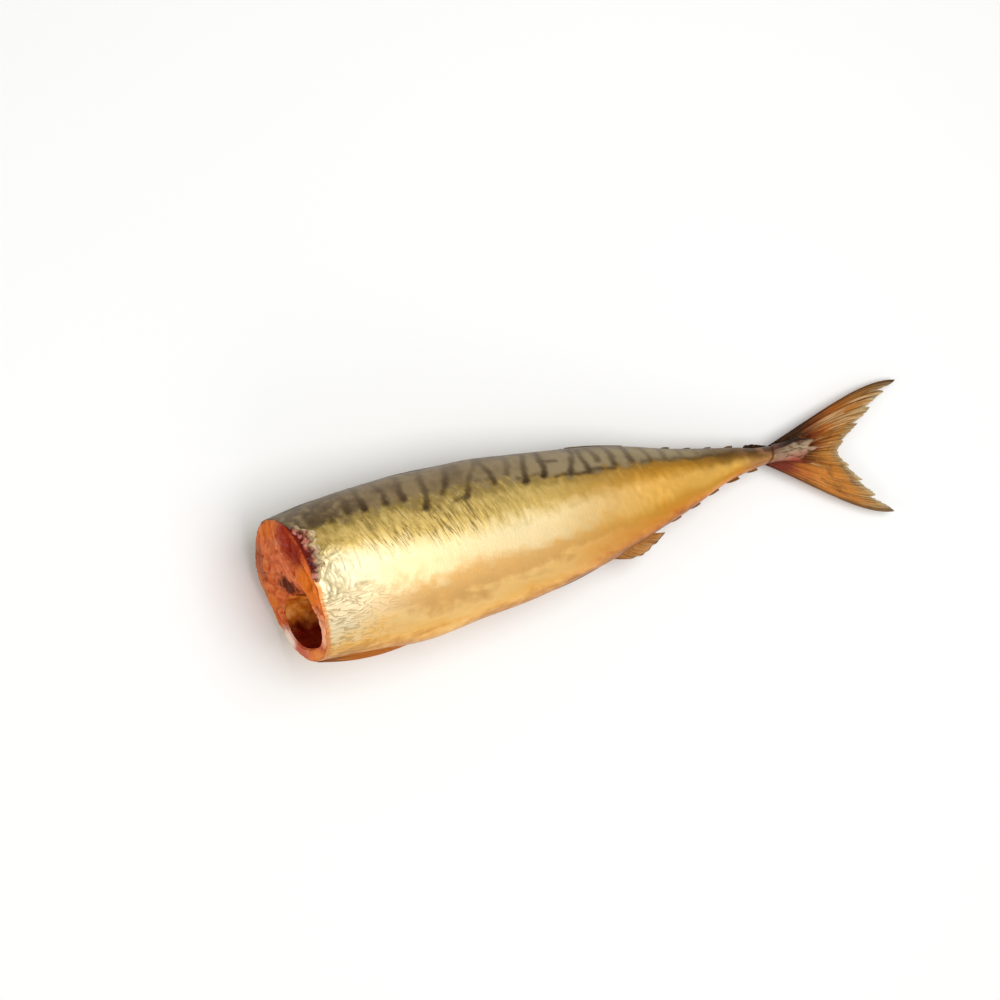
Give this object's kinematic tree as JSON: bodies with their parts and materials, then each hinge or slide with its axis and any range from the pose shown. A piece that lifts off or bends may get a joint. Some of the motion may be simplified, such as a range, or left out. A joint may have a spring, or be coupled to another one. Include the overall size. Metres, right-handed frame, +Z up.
{
  "type": "smoked mackerel",
  "caption": "Hot-smoked mackerel without its head, gutted, lying on its side, with golden skin, a barred back, an open belly cavity at the cut end and a forked tail.",
  "frame": {"origin": "bottom centre of the box round the fish as it lies, on the surface that it rests on", "axes": "+X from the head cut to the tail, +Y towards the back, +Z up through the left side of the fish"},
  "size_m": [0.2706, 0.0626, 0.0453],
  "materials": {
    "smoked_skin": "golden smoked skin, satin with a metallic sheen",
    "smoked_flesh": "moist cut flesh",
    "dried_fin": "dry ribbed fin"
  },
  "bodies": {
    "root": {"fish": "smoked_skin"}
  },
  "joints": []
}
